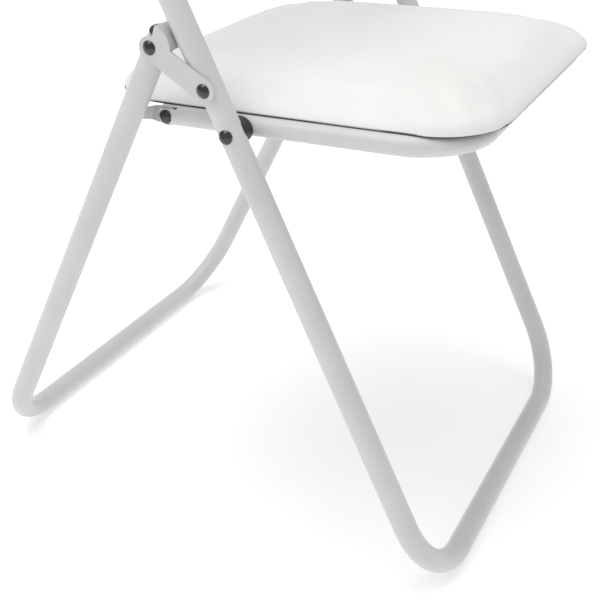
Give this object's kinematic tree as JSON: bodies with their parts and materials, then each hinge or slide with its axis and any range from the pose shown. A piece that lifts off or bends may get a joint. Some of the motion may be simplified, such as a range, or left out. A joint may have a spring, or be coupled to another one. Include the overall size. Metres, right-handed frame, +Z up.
{
  "type": "folding chair",
  "caption": "Folding chair of bent round steel tube with a padded seat and back; the seat turns up and the rear legs swing in on riveted links.",
  "frame": {"origin": "on the floor, midway between the two floor bars, in the chair's plane of symmetry", "axes": "+Z up; -Y is the way the sitter faces; +X is the sitter's left"},
  "size_m": [0.4574, 0.522, 0.809],
  "materials": {
    "tube_paint": "smooth satin light grey powder coat",
    "link_paint": "satin light grey powder coat on pressed steel",
    "bracket_paint": "satin grey powder coat on bent strip",
    "cover": "off-white coated fabric with a fine grain",
    "panel_board": "plain pressed board",
    "panel_laminate": "off-white laminated board",
    "black_plastic": "matte black moulded plastic",
    "rivet_metal": "dark bright plated steel"
  },
  "bodies": {
    "main_frame": {"main_frame_tube": "tube_paint", "back_cross_tube": "tube_paint", "back_board": "panel_laminate", "back_pad": "cover", "back_screws": "rivet_metal", "seat_pivot_rivets": "rivet_metal", "seat_pivot_spacers": "black_plastic"},
    "seat": {"seat_rail_tube": "tube_paint", "seat_crossbar": "tube_paint", "seat_tabs": "tube_paint", "seat_board": "panel_board", "seat_cushion": "cover", "seat_screws": "rivet_metal", "leg_pivot_rivets": "rivet_metal"},
    "rear_legs": {"rear_leg_tube": "tube_paint", "right_leg_bracket": "bracket_paint", "left_leg_bracket": "bracket_paint", "leg_end_plugs": "black_plastic", "leg_top_rivets": "rivet_metal"},
    "right_link": {"right_link": "link_paint", "right_link_rivet": "rivet_metal"},
    "left_link": {"left_link": "link_paint", "left_link_rivet": "rivet_metal"}
  },
  "joints": [
    {"name": "seat_fold", "type": "hinge", "parent": "main_frame", "child": "seat", "pos_m": [0, -0.02601, 0.41509], "axis": [-1, 0, 0], "range_deg": [0, 114.34]},
    {"name": "leg_swing", "type": "hinge", "parent": "seat", "child": "rear_legs", "pos_m": [0, 0.05036, 0.40981], "axis": [-1, 0, 0], "range_deg": [-62, 0]},
    {"name": "right_link_turn", "type": "hinge", "parent": "rear_legs", "child": "right_link", "pos_m": [-0.212, 0.04635, 0.47937], "axis": [-1, 0, 0], "range_deg": [0, 69.5]},
    {"name": "left_link_turn", "type": "hinge", "parent": "rear_legs", "child": "left_link", "pos_m": [0.212, 0.04635, 0.47937], "axis": [-1, 0, 0], "range_deg": [0, 69.5]}
  ],
  "couplings": [
    {"joint": "leg_swing", "follows": "seat_fold", "ratio": -0.54084},
    {"joint": "right_link_turn", "follows": "seat_fold", "ratio": 0.6053},
    {"joint": "left_link_turn", "follows": "seat_fold", "ratio": 0.6053}
  ]
}
